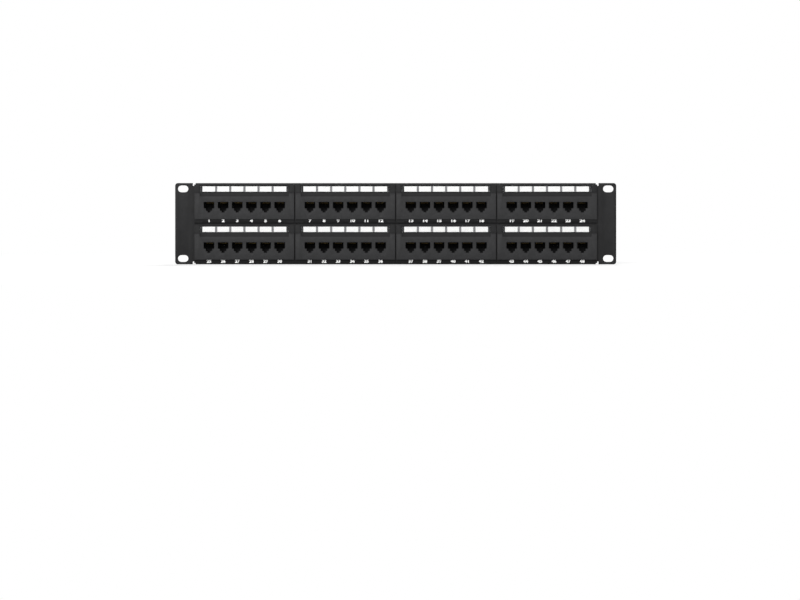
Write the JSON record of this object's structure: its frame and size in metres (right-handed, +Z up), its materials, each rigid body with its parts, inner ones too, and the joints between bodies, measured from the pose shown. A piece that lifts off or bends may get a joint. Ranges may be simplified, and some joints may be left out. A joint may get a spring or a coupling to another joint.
{
  "type": "patch panel",
  "caption": "Rack-mounted network patch panel: folded steel frame, rows of modular jacks with label windows, and punch-down strips with cable bars at the rear.",
  "frame": {"origin": "centre of the assembled panel's footprint, on the surface it stands on", "axes": "+X to the right as seen from the front, along the panel; +Y from the port side to the punch-down side; +Z up"},
  "size_m": [0.4826, 0.0672, 0.0889],
  "materials": {
    "black_powder_coat": "fine-textured black powder coat on steel",
    "bar_powder_coat": "black powder coat on thin steel sheet",
    "dark_grey_plastic": "finely grained dark grey moulding",
    "black_plastic": "black moulding",
    "green_board": "green solder mask on laminate",
    "ivory_plastic": "ivory moulding",
    "white_paper": "matt white paper",
    "clear_plastic": "clear polished plastic"
  },
  "bodies": {
    "panel": {"frame": "black_powder_coat", "bezel_1": "dark_grey_plastic", "bezel_2": "dark_grey_plastic", "bezel_3": "dark_grey_plastic", "bezel_4": "dark_grey_plastic", "bezel_5": "dark_grey_plastic", "bezel_6": "dark_grey_plastic", "bezel_7": "dark_grey_plastic", "bezel_8": "dark_grey_plastic", "jacks_1": "black_plastic", "jacks_2": "black_plastic", "jacks_3": "black_plastic", "jacks_4": "black_plastic", "jacks_5": "black_plastic", "jacks_6": "black_plastic", "jacks_7": "black_plastic", "jacks_8": "black_plastic", "board_1": "green_board", "board_2": "green_board", "board_3": "green_board", "board_4": "green_board", "board_5": "green_board", "board_6": "green_board", "board_7": "green_board", "board_8": "green_board", "strip_upper_1": "ivory_plastic", "strip_upper_2": "ivory_plastic", "strip_upper_3": "ivory_plastic", "strip_upper_4": "ivory_plastic", "strip_upper_5": "ivory_plastic", "strip_upper_6": "ivory_plastic", "strip_upper_7": "ivory_plastic", "strip_upper_8": "ivory_plastic", "strip_lower_1": "ivory_plastic", "strip_lower_2": "ivory_plastic", "strip_lower_3": "ivory_plastic", "strip_lower_4": "ivory_plastic", "strip_lower_5": "ivory_plastic", "strip_lower_6": "ivory_plastic", "strip_lower_7": "ivory_plastic", "strip_lower_8": "ivory_plastic"},
    "label_window_1": {"cover_1": "clear_plastic", "label_1": "white_paper"},
    "label_window_2": {"cover_2": "clear_plastic", "label_2": "white_paper"},
    "label_window_3": {"cover_3": "clear_plastic", "label_3": "white_paper"},
    "label_window_4": {"cover_4": "clear_plastic", "label_4": "white_paper"},
    "label_window_5": {"cover_5": "clear_plastic", "label_5": "white_paper"},
    "label_window_6": {"cover_6": "clear_plastic", "label_6": "white_paper"},
    "label_window_7": {"cover_7": "clear_plastic", "label_7": "white_paper"},
    "label_window_8": {"cover_8": "clear_plastic", "label_8": "white_paper"},
    "cable_bar_lower": {"bar_lower": "bar_powder_coat"},
    "cable_bar_upper": {"bar_upper": "bar_powder_coat"}
  },
  "joints": [
    {"name": "cover_1_pull", "type": "slide", "parent": "panel", "child": "label_window_1", "axis": [0, -1, 0], "range_m": [0, 0.015]},
    {"name": "cover_2_pull", "type": "slide", "parent": "panel", "child": "label_window_2", "axis": [0, -1, 0], "range_m": [0, 0.015]},
    {"name": "cover_3_pull", "type": "slide", "parent": "panel", "child": "label_window_3", "axis": [0, -1, 0], "range_m": [0, 0.015]},
    {"name": "cover_4_pull", "type": "slide", "parent": "panel", "child": "label_window_4", "axis": [0, -1, 0], "range_m": [0, 0.015]},
    {"name": "cover_5_pull", "type": "slide", "parent": "panel", "child": "label_window_5", "axis": [0, -1, 0], "range_m": [0, 0.015]},
    {"name": "cover_6_pull", "type": "slide", "parent": "panel", "child": "label_window_6", "axis": [0, -1, 0], "range_m": [0, 0.015]},
    {"name": "cover_7_pull", "type": "slide", "parent": "panel", "child": "label_window_7", "axis": [0, -1, 0], "range_m": [0, 0.015]},
    {"name": "cover_8_pull", "type": "slide", "parent": "panel", "child": "label_window_8", "axis": [0, -1, 0], "range_m": [0, 0.015]},
    {"name": "bar_lower_pull", "type": "slide", "parent": "panel", "child": "cable_bar_lower", "axis": [0, 1, 0], "range_m": [0, 0.05]},
    {"name": "bar_upper_pull", "type": "slide", "parent": "panel", "child": "cable_bar_upper", "axis": [0, 1, 0], "range_m": [0, 0.05]}
  ]
}
